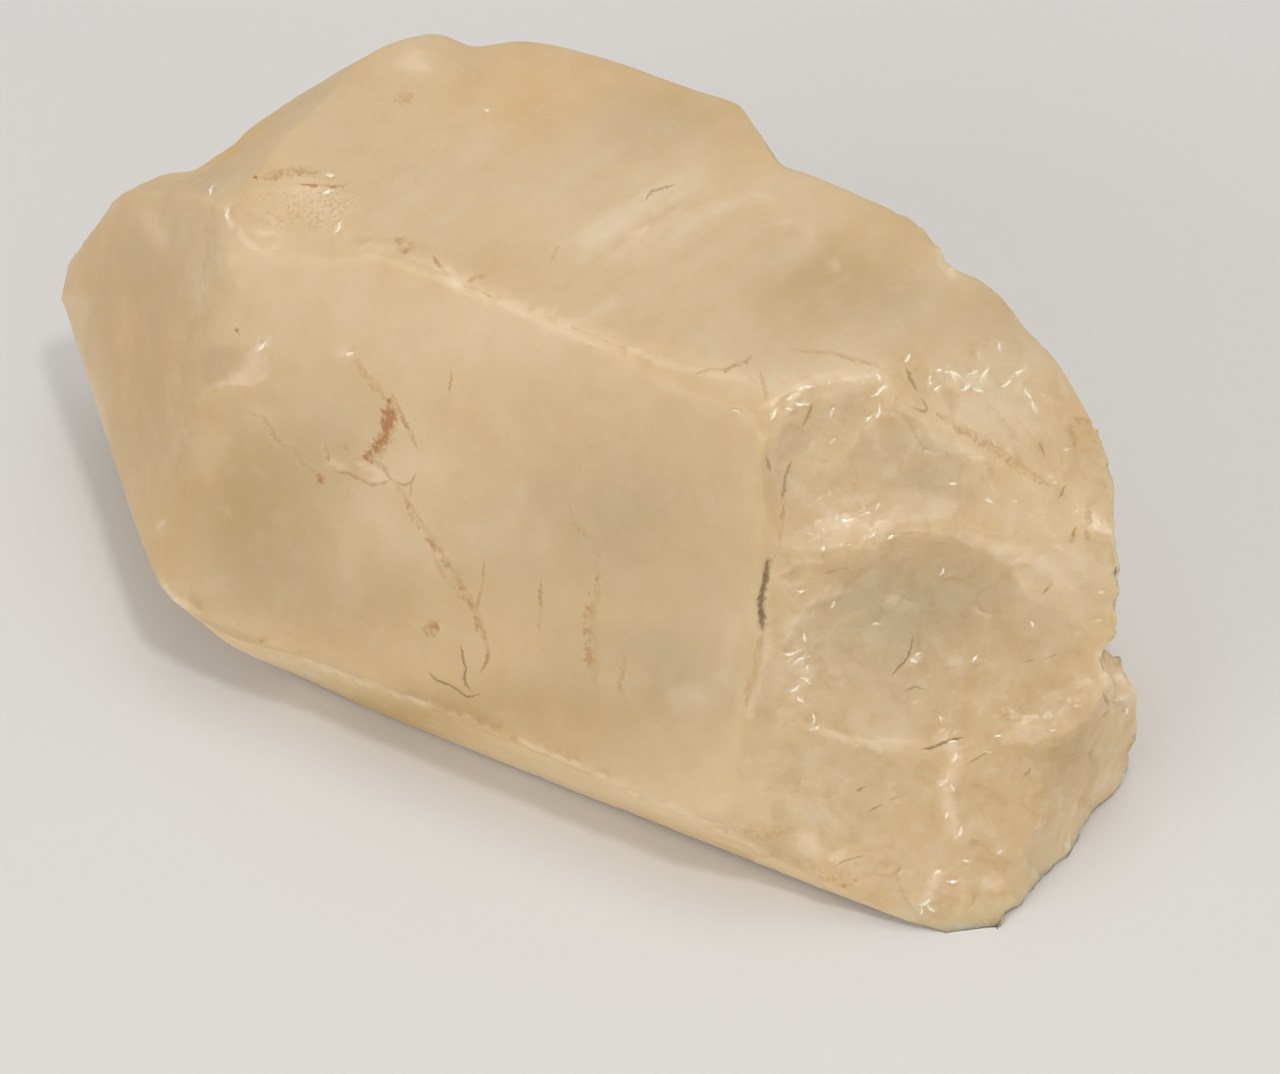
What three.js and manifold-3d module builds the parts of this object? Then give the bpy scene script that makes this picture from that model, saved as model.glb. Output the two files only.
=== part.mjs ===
// A worn quartz crystal, broken off its base, lying on one of its prism faces.
//
// Millimetres, +Z up. The long crystal axis runs along X: the natural point faces -X and
// the broken base faces +X. The big front prism face looks towards -Y and up.
//
// Every flat face is a plane given by three values:
//   turn      degrees round the long axis, 0 at the front (-Y) and 90 at the top (+Z)
//   lean      degrees the face tips over towards the point (-X), or if negative the base (+X)
//   distance  how far the plane lies from the datum, a spot on the ground under the ridge
// The finished solid is shifted at the end, so that its origin is the bottom centre of its box.

import * as THREE from 'three';
import { mergeVertices } from 'three/addons/utils/BufferGeometryUtils.js';
import Module from 'manifold-3d';

const wasm = await Module();
wasm.setup();

// Driving dimensions
const HEIGHT = 47;
const BLANK_SIZE = 260;
const RHOMB_LEAN = 38.2;
const WORN_RHOMB_LEAN = 45;
const SCAR_SEGMENTS = 40;
const SCAR_RINGS = 28;

// Prism faces, parallel to the long axis
const PRISM_FACES = [
  { name: 'top', turn: 90, lean: 0, distance: HEIGHT },
  { name: 'front', turn: 30, lean: 0, distance: 20.5 },
  { name: 'front foot', turn: -26, lean: 0, distance: 10.8 },
  { name: 'underside', turn: -90, lean: 0, distance: 0 },
  { name: 'back foot', turn: -150, lean: 0, distance: 28.6 },
  { name: 'back', turn: 150, lean: 0, distance: 56.2 },
];

// Faces of the natural point, each leaning over the prism face below it
const POINT_FACES = [
  { name: 'front', turn: 28.3, lean: RHOMB_LEAN, distance: 43.2 },
  { name: 'top', turn: 90, lean: RHOMB_LEAN, distance: 65.1 },
  { name: 'back', turn: 150, lean: WORN_RHOMB_LEAN, distance: 65.3 },
  { name: 'back foot', turn: -150, lean: RHOMB_LEAN, distance: 46 },
  { name: 'underside', turn: -90, lean: RHOMB_LEAN, distance: 34 },
  { name: 'front foot', turn: -26, lean: WORN_RHOMB_LEAN, distance: 39.9 },
  { name: 'worn front corner', turn: -48, lean: 30, distance: 23.2 },
  { name: 'worn back edge', turn: 151, lean: 15.7, distance: 61 },
];

// Broken faces round the base
const BREAK_FACES = [
  { name: 'front break', turn: 35, lean: -30.6, distance: 27.1 },
  { name: 'top break', turn: 90, lean: -31, distance: 50.1 },
  { name: 'back corner', turn: 170, lean: -31, distance: 44.9 },
  { name: 'base end', turn: 0, lean: -83.4, distance: 44.2 },
  { name: 'back of the base end', turn: 173, lean: -62.5, distance: 48.8 },
];

// Ledges where a wedge flaked off, each the space beyond both its tread and its riser
const UPPER_BASE_TREAD = { turn: 173, lean: -62.5, distance: 46.2 };
const LEDGES = [
  {
    name: 'middle of the back edge',
    tread: { turn: 150, lean: -4, distance: 51.5 },
    riser: { turn: 180, lean: -35, distance: 25.7 },
  },
  {
    name: 'base end of the back edge',
    tread: { turn: 158, lean: -12, distance: 47 },
    riser: { turn: 180, lean: -40.5, distance: 32.5 },
  },
  {
    name: 'above the lobe',
    tread: UPPER_BASE_TREAD,
    riser: { turn: 75, lean: -8, distance: 16.5 },
  },
  {
    name: 'behind the lobe',
    tread: UPPER_BASE_TREAD,
    riser: { turn: 180, lean: 0, distance: 17.2 },
  },
];

// Shell-shaped flake scars: each is the cap of an ellipsoid, of the given length, width and
// depth, sunk into a plane at its centre. Spin turns the length from the long axis.
const FLAKE_SCARS = [
  {
    name: 'main scar', turn: 35, lean: -30.6, spin: 10,
    centre: [33, 2.5, 26], length: 38, width: 23, depth: 3.2,
  },
  {
    name: 'upper scar', turn: 35, lean: -30.6, spin: 8,
    centre: [31, 10.5, 37.4], length: 26, width: 10, depth: 1.2,
  },
  {
    name: 'corner scar', turn: 38, lean: -22, spin: 70,
    centre: [19.5, 6, 41.5], length: 17, width: 12, depth: 1.9,
  },
  {
    name: 'lens scar', turn: 62, lean: -30, spin: 0,
    centre: [29.5, 14.8, 41.5], length: 19, width: 8, depth: 1.3,
  },
  {
    name: 'front edge scar', turn: 2, lean: -24, spin: 16,
    centre: [24, -15.4, 8], length: 16, width: 6, depth: 0.9,
  },
  {
    name: 'ridge corner scar', turn: 62, lean: 6, spin: 0,
    centre: [-40, 3.6, 46.8], length: 18, width: 9, depth: 1.5,
  },
  {
    name: 'front face chip', turn: 30, lean: 3, spin: 62,
    centre: [-43.2, -3.4, 35.2], length: 13, width: 7, depth: 0.6,
  },
  {
    name: 'notch by the point', turn: 125, lean: 42, spin: 0,
    centre: [-56, 15.5, 38.5], length: 18, width: 9, depth: 2,
  },
  {
    name: 'back scar', turn: 150, lean: 0, spin: 6,
    centre: [-22, 43.5, 37], length: 30, width: 15, depth: 1.6,
  },
  {
    name: 'back foot scar', turn: -150, lean: 0, spin: 0,
    centre: [-12, 41.5, 14.6], length: 36, width: 17, depth: 2,
  },
  {
    name: 'base scar', turn: 173, lean: -62.5, spin: 80,
    centre: [33.5, 34, 22], length: 34, width: 24, depth: 3.4,
  },
];

function faceNormal({ turn, lean }) {
  const round = THREE.MathUtils.degToRad(turn);
  const over = THREE.MathUtils.degToRad(lean);
  return new THREE.Vector3(
    -Math.sin(over),
    -Math.cos(over) * Math.cos(round),
    Math.cos(over) * Math.sin(round),
  );
}

function toSolid(geometry) {
  geometry.deleteAttribute('normal');
  geometry.deleteAttribute('uv');
  const closed = mergeVertices(geometry);
  return new wasm.Manifold(new wasm.Mesh({
    numProp: 3,
    vertProperties: new Float32Array(closed.attributes.position.array),
    triVerts: new Uint32Array(closed.index.array),
  }));
}

function toGeometry(solid) {
  const mesh = solid.getMesh();
  const geometry = new THREE.BufferGeometry();
  geometry.setAttribute('position', new THREE.BufferAttribute(mesh.vertProperties, 3));
  geometry.setIndex(new THREE.BufferAttribute(mesh.triVerts, 1));
  geometry.computeVertexNormals();
  geometry.computeBoundingBox();
  return geometry;
}

// Everything on the far side of a face, as a block big enough to clear the crystal
function beyond(face) {
  const up = new THREE.Vector3(0, 0, 1);
  const normal = faceNormal(face);
  const block = new THREE.BoxGeometry(2 * BLANK_SIZE, 2 * BLANK_SIZE, BLANK_SIZE);
  block.translate(0, 0, BLANK_SIZE / 2);
  block.applyQuaternion(new THREE.Quaternion().setFromUnitVectors(up, normal));
  block.translate(...normal.multiplyScalar(face.distance).toArray());
  return toSolid(block);
}

function ledge({ tread, riser }) {
  return beyond(tread).intersect(beyond(riser));
}

// The ellipsoid of a scar. Its radius comes from the width and depth of the cap it cuts.
function flakeScar(scar) {
  const { spin, centre, length, width, depth } = scar;
  const radius = (width ** 2 / 4 + depth ** 2) / (2 * depth);
  const ellipsoid = new THREE.SphereGeometry(radius, SCAR_SEGMENTS, SCAR_RINGS);
  ellipsoid.scale(length / width, 1, 1);
  ellipsoid.translate(0, 0, radius - depth);
  ellipsoid.rotateZ(THREE.MathUtils.degToRad(spin));

  const normal = faceNormal(scar);
  const along = new THREE.Vector3(1, 0, 0).projectOnPlane(normal).normalize();
  const across = normal.clone().cross(along);
  ellipsoid.applyMatrix4(new THREE.Matrix4().makeBasis(along, across, normal));
  ellipsoid.translate(...centre);
  return toSolid(ellipsoid);
}

function buildCrystal() {
  const blank = toSolid(new THREE.BoxGeometry(BLANK_SIZE, BLANK_SIZE, BLANK_SIZE));
  const cutters = [
    ...[...PRISM_FACES, ...POINT_FACES, ...BREAK_FACES].map(beyond),
    ...LEDGES.map(ledge),
    ...FLAKE_SCARS.map(flakeScar),
  ];
  return cutters.reduce((rest, cutter) => rest.subtract(cutter), blank);
}

const crystal = new THREE.Mesh(
  toGeometry(buildCrystal()),
  new THREE.MeshStandardMaterial({ color: 0xcab08b, roughness: 0.35, metalness: 0 }),
);
crystal.name = 'quartz_crystal';
const { min, max } = crystal.geometry.boundingBox;
crystal.position.set(-(min.x + max.x) / 2, -(min.y + max.y) / 2, -min.z);

const part = new THREE.Group();
part.add(crystal);

export default part;
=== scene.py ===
import itertools
import math

import bpy
import numpy as np
from mathutils import Matrix, Vector


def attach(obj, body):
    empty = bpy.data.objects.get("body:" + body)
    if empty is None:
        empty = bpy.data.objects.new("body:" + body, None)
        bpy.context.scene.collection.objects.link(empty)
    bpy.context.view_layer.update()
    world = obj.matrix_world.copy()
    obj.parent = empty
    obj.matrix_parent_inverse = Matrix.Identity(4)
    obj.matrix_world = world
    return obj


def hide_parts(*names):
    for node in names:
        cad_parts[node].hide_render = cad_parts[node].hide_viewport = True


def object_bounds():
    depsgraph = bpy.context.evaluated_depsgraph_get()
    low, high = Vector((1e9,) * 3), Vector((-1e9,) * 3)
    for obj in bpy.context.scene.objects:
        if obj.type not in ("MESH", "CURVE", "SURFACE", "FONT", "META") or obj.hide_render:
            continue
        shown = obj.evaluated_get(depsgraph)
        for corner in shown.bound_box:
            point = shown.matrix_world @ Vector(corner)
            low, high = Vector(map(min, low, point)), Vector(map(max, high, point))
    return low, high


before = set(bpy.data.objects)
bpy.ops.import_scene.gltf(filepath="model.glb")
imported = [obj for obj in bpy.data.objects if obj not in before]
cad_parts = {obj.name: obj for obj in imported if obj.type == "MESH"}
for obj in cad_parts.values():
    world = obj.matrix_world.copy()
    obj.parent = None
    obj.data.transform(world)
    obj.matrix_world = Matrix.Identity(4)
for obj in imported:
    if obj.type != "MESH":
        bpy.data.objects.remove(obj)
cad_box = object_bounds()

# ---------------------------------------------------------------- camera and photo frame
MM = 0.001
PHOTO_W, PHOTO_H = 1280, 1074
FOCAL_PX = 5250.0
PX_PER_MM = 10.5
SENSOR = 36.0
AZIMUTH, ELEVATION = 28.0, 47.0
DISTANCE = 500.0
DATUM = np.array([13.058, -15.803, 0.0])
TARGET = DATUM + np.array([0.0, 0.0, 26.0])


def view_basis(azimuth, elevation):
    a, e = math.radians(azimuth), math.radians(elevation)
    back = np.array([math.sin(a) * math.cos(e), -math.cos(a) * math.cos(e), math.sin(e)])
    right = np.array([math.cos(a), math.sin(a), 0.0])
    return right, np.cross(back, right), back


RIGHT, UP, BACK = view_basis(AZIMUTH, ELEVATION)
EYE = TARGET + BACK * DISTANCE


def to_pixel(points):
    d = points - EYE
    depth = -(d @ BACK)
    return np.column_stack([
        PHOTO_W / 2 + FOCAL_PX * (d @ RIGHT) / depth,
        PHOTO_H / 2 - FOCAL_PX * (d @ UP) / depth,
    ])


def make_camera():
    data = bpy.data.cameras.new("photo_camera")
    data.sensor_fit = "HORIZONTAL"
    data.sensor_width = SENSOR
    data.lens = FOCAL_PX / PHOTO_W * SENSOR
    data.clip_start, data.clip_end = 0.01, 20.0
    camera = bpy.data.objects.new("photo_camera", data)
    axes = Matrix((RIGHT, UP, BACK)).transposed().to_4x4()
    camera.matrix_world = Matrix.Translation(Vector(EYE * MM)) @ axes
    bpy.context.scene.collection.objects.link(camera)
    bpy.context.scene.camera = camera


# ---------------------------------------------------------------- lights and floor
GLINT_LAMP = (0.27, -0.18, 0.85)
LAMPS = [
    # name, place, what it points at, size, power
    ("overhead", (0.0, 0.15, 0.75), (0, 0, 0.02), (0.6, 0.45), 0.9),
    ("fill_front", (-0.25, -0.75, 0.45), (0, 0, 0.02), (0.6, 0.4), 1.84),
    ("fill_right", (0.7, -0.3, 0.25), (0, 0, 0.02), (0.4, 0.3), 0.5),
    ("glint", GLINT_LAMP, (0.02, 0, 0.03), (0.10, 0.10), 1.6),
]
WORLD_COLOUR, WORLD_STRENGTH = (1.0, 0.98, 0.96, 1), 0.545
FLOOR_SIZE, FLOOR_COLOUR, FLOOR_ROUGHNESS = 4.0, (0.72, 0.71, 0.69, 1), 0.7


def area_light(name, place, aim, size, power):
    data = bpy.data.lights.new(name, "AREA")
    data.shape = "RECTANGLE"
    data.size, data.size_y = size
    data.energy = power
    light = bpy.data.objects.new(name, data)
    light.location = place
    light.rotation_euler = (Vector(aim) - Vector(place)).to_track_quat("-Z", "Y").to_euler()
    bpy.context.scene.collection.objects.link(light)


def make_studio():
    scene = bpy.context.scene
    scene.view_settings.view_transform = "Standard"
    scene.world = bpy.data.worlds.new("studio")
    scene.world.use_nodes = True
    background = scene.world.node_tree.nodes["Background"]
    background.inputs["Color"].default_value = WORLD_COLOUR
    background.inputs["Strength"].default_value = WORLD_STRENGTH
    for lamp in LAMPS:
        area_light(*lamp)

    bpy.ops.mesh.primitive_grid_add(x_subdivisions=2, y_subdivisions=2, size=FLOOR_SIZE)
    floor = bpy.context.object
    floor.name = "floor"
    material = bpy.data.materials.new("floor")
    material.use_nodes = True
    bsdf = material.node_tree.nodes["Principled BSDF"]
    bsdf.inputs["Base Color"].default_value = FLOOR_COLOUR
    bsdf.inputs["Roughness"].default_value = FLOOR_ROUGHNESS
    floor.data.materials.append(material)


# ---------------------------------------------------------------- noise and plane geometry
def lattice(x, y, z, seed):
    """A number from -1 to 1 for each whole-number place"""
    h = (x * 73856093) ^ (y * 19349663) ^ (z * 83492791) ^ (seed * 40503)
    h = ((h ^ (h >> 13)) * 1274126177) & 0x7FFFFFFF
    h = ((h ^ (h >> 15)) * 2246822519) & 0x7FFFFFFF
    return ((h >> 7) & 0xFFFF) / 32767.5 - 1.0


def value_noise(points, size, seed):
    p = points / size
    cell = np.floor(p).astype(np.int64)
    f = p - cell
    f = f * f * f * (f * (f * 6 - 15) + 10)
    total = np.zeros(len(p))
    for corner in itertools.product((0, 1), repeat=3):
        weight = np.where(corner, f, 1 - f).prod(axis=1)
        total += weight * lattice(*(cell + corner).T, seed)
    return total


def fractal(points, size, octaves, seed):
    total = np.zeros(len(points))
    for k in range(octaves):
        total += value_noise(points, size / 2 ** k, seed + k * 17) / 2 ** k
    return total


def flat_noise(px, size, octaves, seed):
    return fractal(np.column_stack([px, np.zeros(len(px))]), size, octaves, seed)


def shake(px, size, octaves, seeds, amount):
    """A shift for each point of the picture, noise of that size and amount in px"""
    return np.column_stack([flat_noise(px, size, octaves, seed) for seed in seeds]) * amount


def smoothstep(low, high, x):
    t = np.clip((x - low) / (high - low), 0, 1)
    return t * t * (3 - 2 * t)


# px: the steps of open and closed curves, and how far outside an outline depth is measured
CURVE_STEP, RING_STEP = 4.0, 6.0
OUTSIDE = 40.0
FAR = 1e9


def curve(points, step=CURVE_STEP, closed=False):
    """Catmull-Rom points through a given line"""
    pts = np.array(points, float)
    if closed:
        ext = np.vstack([pts[-1], pts, pts[0], pts[1]])
    else:
        ext = np.vstack([2 * pts[0] - pts[1], pts, 2 * pts[-1] - pts[-2]])
    out = []
    for i in range(1, len(ext) - 2):
        p0, p1, p2, p3 = ext[i - 1:i + 3]
        n = max(1, int(np.linalg.norm(p2 - p1) / step))
        for t in np.arange(n) / n:
            out.append(0.5 * (2 * p1 + (p2 - p0) * t + (2 * p0 - 5 * p1 + 4 * p2 - p3) * t ** 2
                              + (3 * p1 - p0 - 3 * p2 + p3) * t ** 3))
    out.append(ext[-2])
    return np.array(out)


def ring(points):
    return curve(points, RING_STEP, closed=True)


def line_distance(p, line):
    best = np.full(len(p), FAR)
    for a, b in zip(line[:-1], line[1:]):
        ab = b - a
        length = np.linalg.norm(ab)
        if length > 0:
            t = np.clip((p - a) @ ab / length ** 2, 0, 1)
            best = np.minimum(best, np.linalg.norm(p - a - t[:, None] * ab, axis=1))
    return best


def boxed(p, line, margin):
    """Which points lie in the line's box, made larger by the margin"""
    return np.all((p > line.min(0) - margin) & (p < line.max(0) + margin), axis=1)


def inside(p, polygon):
    x, y = p.T
    hit = np.zeros(len(p), bool)
    for (x1, y1), (x2, y2) in zip(polygon, np.roll(polygon, -1, 0)):
        crosses = (y1 > y) != (y2 > y)
        hit ^= crosses & (x < (x2 - x1) * (y - y1) / (y2 - y1 + 1e-12) + x1)
    return hit


def depth_inside(p, outline):
    """Distance in px to a closed outline: positive inside it, negative outside"""
    rim = ring(outline)
    near = boxed(p, rim, OUTSIDE)
    depth = np.full(len(p), -OUTSIDE)
    distance = line_distance(p[near], rim)
    depth[near] = np.where(inside(p[near], rim), distance, -distance)
    return depth


# ---------------------------------------------------------------- mesh helpers
def node_mesh_mm(node):
    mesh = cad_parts[node].data.copy()
    mesh.transform(Matrix.Scale(1 / MM, 4))
    return mesh


def evaluated(mesh, kind, **settings):
    """The mesh as one modifier leaves it"""
    obj = bpy.data.objects.new("work", mesh)
    bpy.context.scene.collection.objects.link(obj)
    modifier = obj.modifiers.new(kind, kind)
    for key, value in settings.items():
        setattr(modifier, key, value)
    graph = bpy.context.evaluated_depsgraph_get()
    made = bpy.data.meshes.new_from_object(obj.evaluated_get(graph))
    bpy.data.objects.remove(obj)
    return made


def read(mesh):
    co = np.empty(len(mesh.vertices) * 3, np.float32)
    mesh.vertices.foreach_get("co", co)
    mesh.calc_loop_triangles()
    tris = np.empty(len(mesh.loop_triangles) * 3, np.int32)
    mesh.loop_triangles.foreach_get("vertices", tris)
    return co.reshape(-1, 3).astype(float), tris.reshape(-1, 3)


def write(co, tris):
    mesh = bpy.data.meshes.new("crystal_skin")
    mesh.vertices.add(len(co))
    mesh.vertices.foreach_set("co", co.astype(np.float32).ravel())
    mesh.loops.add(len(tris) * 3)
    mesh.loops.foreach_set("vertex_index", tris.astype(np.int32).ravel())
    mesh.polygons.add(len(tris))
    mesh.polygons.foreach_set("loop_start", np.arange(0, len(tris) * 3, 3, dtype=np.int32))
    mesh.update(calc_edges=True)
    return mesh


def edges_of(tris):
    pairs = np.sort(np.vstack([tris[:, [0, 1]], tris[:, [1, 2]], tris[:, [2, 0]]]), axis=1)
    key = pairs[:, 0].astype(np.int64) * (tris.max() + 1) + pairs[:, 1]
    _, first, which = np.unique(key, return_index=True, return_inverse=True)
    return pairs[first], which.reshape(3, -1).T


def normals_of(co, tris):
    a, b, c = (co[tris[:, k]] for k in range(3))
    face = np.cross(b - a, c - a)
    total = np.column_stack([
        sum(np.bincount(tris[:, k], face[:, axis], len(co)) for k in range(3))
        for axis in range(3)
    ])
    return total / np.maximum(np.linalg.norm(total, axis=1, keepdims=True), 1e-12)


def neighbour_mean(columns, pairs):
    """Of each column of values, the mean over every vertex's neighbours"""
    a, b = pairs.T
    n = columns.shape[0]
    degree = np.bincount(a, minlength=n) + np.bincount(b, minlength=n)
    total = [np.bincount(a, values[b], n) + np.bincount(b, values[a], n) for values in columns.T]
    return np.column_stack(total) / degree[:, None]


def blur(values, pairs, steps):
    for _ in range(steps):
        values = neighbour_mean(values[:, None], pairs)[:, 0]
    return values


def relax(co, pairs, steps, amount):
    """Laplacian smoothing; amount is one number, or one a vertex"""
    amount = np.broadcast_to(amount, len(co))[:, None]
    for _ in range(steps):
        co = co + (neighbour_mean(co, pairs) - co) * amount
    return co


def relax_part(co, pairs, steps, amount):
    """As relax, on the vertices where amount isn't nought"""
    keep = amount > 1e-3
    used = pairs[keep[pairs[:, 0]] | keep[pairs[:, 1]]]
    ids, flat = np.unique(used, return_inverse=True)
    part = relax(co[ids], flat.reshape(-1, 2), steps, amount[ids])
    moved = co.copy()
    moved[ids[keep[ids]]] = part[keep[ids]]
    return moved


# the triangles made from one, by which of its edges are split: 1, 2 and 4 added up. Corners are
# 0 to 2, and the middles of the edges 3 to 5
SPLITS = {
    0: [(0, 1, 2)],
    1: [(0, 3, 2), (3, 1, 2)],
    2: [(1, 4, 0), (4, 2, 0)],
    3: [(3, 1, 4), (0, 3, 4), (0, 4, 2)],
    4: [(2, 5, 1), (5, 0, 1)],
    5: [(5, 0, 3), (2, 5, 3), (2, 3, 1)],
    6: [(4, 2, 5), (1, 4, 5), (1, 5, 0)],
    7: [(0, 3, 5), (3, 1, 4), (5, 4, 2), (3, 4, 5)],
}


def refine(co, tris, target, passes):
    """Splits edges longer than target(points), all at once, until none is"""
    for _ in range(passes):
        pairs, which = edges_of(tris)
        ends = co[pairs]
        middle = ends.mean(axis=1)
        length = np.linalg.norm(ends[:, 0] - ends[:, 1], axis=1)
        split = length > target(middle)
        new_id = np.full(len(pairs), -1)
        new_id[split] = len(co) + np.arange(split.sum())
        co = np.vstack([co, middle[split]])
        corners = np.column_stack([tris, new_id[which]])
        case = split[which] @ np.array([1, 2, 4])
        tris = np.vstack([
            corners[case == way][:, made] for way, parts in SPLITS.items() for made in parts
        ])
    return co, tris


# ---------------------------------------------------------------- forms seen in the photograph, px
OUTLINE = [
    (60, 300), (63, 283), (66, 268), (78, 250), (88, 235), (98, 222), (110, 202), (125, 190),
    (145, 180), (165, 172), (178, 170), (192, 169), (203, 162), (215, 154), (232, 143),
    (245, 130), (265, 115), (285, 101), (310, 87), (335, 72), (360, 58), (385, 45), (400, 39),
    (420, 34), (440, 33), (455, 38), (468, 44), (480, 45), (500, 42), (520, 40), (550, 44),
    (580, 51), (620, 62), (660, 76), (700, 90), (735, 101), (748, 114), (762, 133), (772, 149),
    (783, 163), (800, 168), (830, 180), (860, 193), (890, 206), (905, 212), (918, 221),
    (928, 233), (940, 245), (950, 260), (962, 270), (978, 276), (990, 284), (1005, 297),
    (1018, 313), (1032, 331), (1048, 348), (1060, 362), (1072, 381), (1085, 403), (1097, 424),
    (1106, 441), (1109, 455), (1114, 470), (1116, 487), (1116, 510), (1118, 540), (1121, 560),
    (1122, 580), (1121, 598), (1119, 606), (1120, 625), (1118, 640), (1117, 655), (1112, 664),
    (1118, 673), (1128, 681), (1139, 685), (1141, 697), (1139, 705), (1140, 725), (1138, 742),
    (1132, 758), (1127, 775), (1121, 788), (1113, 796), (1103, 803), (1095, 810), (1088, 823),
    (1080, 840), (1073, 855), (1062, 863), (1052, 872), (1040, 884), (1033, 892), (1026, 903),
    (1014, 912), (1006, 920), (999, 934), (985, 936), (962, 937), (945, 935), (925, 929),
    (900, 920), (850, 901), (800, 881), (760, 865), (700, 842), (640, 818), (580, 795),
    (520, 771), (470, 752), (420, 732), (375, 714), (330, 694), (285, 674), (250, 659),
    (225, 645), (200, 625), (178, 608), (163, 592), (152, 572), (143, 550), (128, 510),
    (112, 462), (98, 420), (84, 378), (72, 340),
]
OUTLINE_CENTRE = (600, 490)
# the most that the rim is moved to meet the outline
MOST_MOVED = 8.0
# smoothing sets in over this way from the notch in the rim, and over this way in from the rim
CORNER, CORNER_REACH = (1105, 668), (32, 75)
RIM_REACH = (2, 26)
FRACTURE = [
    (764, 372), (777, 480), (768, 600), (752, 700), (738, 760), (704, 815), (700, 850),
    (850, 912), (930, 950), (1010, 952), (1050, 900), (1085, 865), (1110, 820), (1140, 795),
    (1160, 745), (1160, 680), (1135, 660), (1135, 600), (1130, 480), (1112, 430), (1060, 372),
    (1000, 335), (905, 362), (860, 372), (800, 376),
]
SOFT_ZONES = [
    # the smooth swelling between the top face and the break
    [(940, 262), (905, 330), (880, 372), (905, 366), (990, 345), (1050, 372), (1020, 322),
     (985, 285), (960, 272)],
    # the rounded edge between the top face and the break
    [(762, 352), (800, 346), (850, 348), (905, 340), (920, 385), (880, 396), (800, 404), (768, 424)],
    # the bruised corner of the ridge
    [(222, 180), (260, 165), (330, 178), (362, 225), (350, 250), (290, 256), (240, 250),
     (225, 220)],
    # the worn chip on the front face
    [(190, 325), (230, 320), (275, 335), (282, 372), (262, 398), (200, 410), (186, 370)],
    # the worn edge between the point and the front face
    [(175, 300), (205, 270), (226, 300), (222, 400), (208, 500), (190, 590), (160, 600),
     (150, 560), (160, 470)],
    # the end of the ridge, where it dies away
    [(650, 348), (700, 362), (766, 384), (772, 404), (700, 390), (645, 368)],
]
SCARS = [
    # outline, depth mm, width of the slope px, how milky its rim is, and its clear heart where it
    # has one: how clear, centre px, reach px
    ([(775, 398), (800, 384), (850, 379), (884, 384), (882, 415), (862, 432), (836, 462),
      (800, 474), (786, 472), (772, 440)], 0.25, 32, 0.5, (0.2, (850, 420), 50)),
    ([(836, 462), (864, 432), (884, 415), (908, 412), (935, 430), (975, 453), (1002, 475),
      (988, 503), (950, 518), (905, 520), (850, 529), (800, 545), (784, 560), (786, 500),
      (800, 474)], 0.15, 40, 0.3, (0.5, (900, 460), 80)),
    ([(780, 577), (830, 560), (870, 546), (905, 535), (940, 533), (968, 530), (992, 548),
      (1016, 560), (1014, 577), (1027, 594), (1050, 607), (1078, 625), (1104, 650), (1108, 690),
      (1085, 722), (1045, 740), (1003, 745), (965, 752), (942, 748), (900, 742), (850, 735),
      (800, 722), (757, 712), (768, 668), (786, 640), (800, 612), (830, 592)], 0.34, 60, 0.6,
     (0.55, (925, 600), 120)),
    ([(1122, 694), (1108, 714), (1085, 729), (1045, 743), (1005, 747), (975, 765), (957, 790),
      (954, 815), (964, 835), (970, 862), (962, 900), (950, 950), (1010, 952), (1050, 900),
      (1085, 865), (1110, 820), (1140, 795), (1160, 745), (1150, 705)], 0.3, 45, 0.3,
     (0.5, (1055, 752), 34)),
    ([(752, 720), (800, 730), (850, 744), (900, 757), (940, 770), (944, 790), (940, 815),
      (950, 838), (952, 862), (932, 880), (918, 905), (880, 890), (850, 880), (800, 850),
      (760, 828), (738, 800), (738, 760)], 0.2, 50, 0.25, (0.15, (850, 760), 60)),
    ([(905, 380), (935, 366), (985, 363), (1030, 373), (1048, 395), (1052, 420), (1030, 438),
      (1000, 448), (975, 439), (940, 416), (915, 397)], 0.25, 30, 0.3, None),
    ([(1056, 424), (1080, 428), (1112, 440), (1125, 480), (1125, 560), (1120, 605), (1062, 608),
      (1022, 560), (992, 545), (1008, 490), (1025, 455)], 0.15, 35, 0.2, None),
    ([(196, 398), (206, 392), (220, 386), (235, 383), (250, 386), (263, 378), (271, 362),
      (268, 347), (258, 342), (240, 350), (222, 344), (203, 340), (192, 360)], 0.2, 14, 0.0,
     None),
    ([(236, 206), (240, 228), (250, 243), (262, 250), (277, 248), (281, 240), (274, 232),
      (260, 226), (252, 212)], 0.16, 8, 0.0, None),
    ([(252, 190), (300, 184), (338, 192), (340, 222), (300, 232), (262, 222)], 0.12, 16, 0.0, None),
]
RIPPLES = [
    # centre px, spacing px, height mm, scar
    ((925, 470), 21.0, 0.008, 2), ((1120, 640), 19.0, 0.010, 3), ((820, 640), 17.0, 0.006, 4),
    ((1000, 340), 15.0, 0.006, 5),
]
JAGGED_RIMS = [
    # line px, reach px, depth mm, grain mm
    ([(1098, 424), (1110, 455), (1116, 500), (1119, 560), (1121, 600), (1117, 655)], 12, 0.55, 0.9),
    ([(1140, 690), (1138, 745), (1121, 790), (1095, 810), (1073, 855), (1040, 885)],
     10, 0.16, 1.2),
    ([(890, 206), (918, 221), (940, 245), (962, 270)], 10, 0.25, 1.0),
]
RIDGE = [(352, 240), (400, 248), (440, 266), (470, 285), (520, 303), (560, 320), (610, 342),
         (650, 358)]
FOOT_EDGE = [(185, 600), (240, 632), (300, 660), (360, 682), (430, 704), (480, 723), (520, 740),
             (560, 757), (600, 775), (640, 797), (700, 822), (750, 843)]
CHIPPED_EDGES = [(RIDGE, 0.30), (FOOT_EDGE, 0.34)]
CHIP_REACH = 9.0
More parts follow.
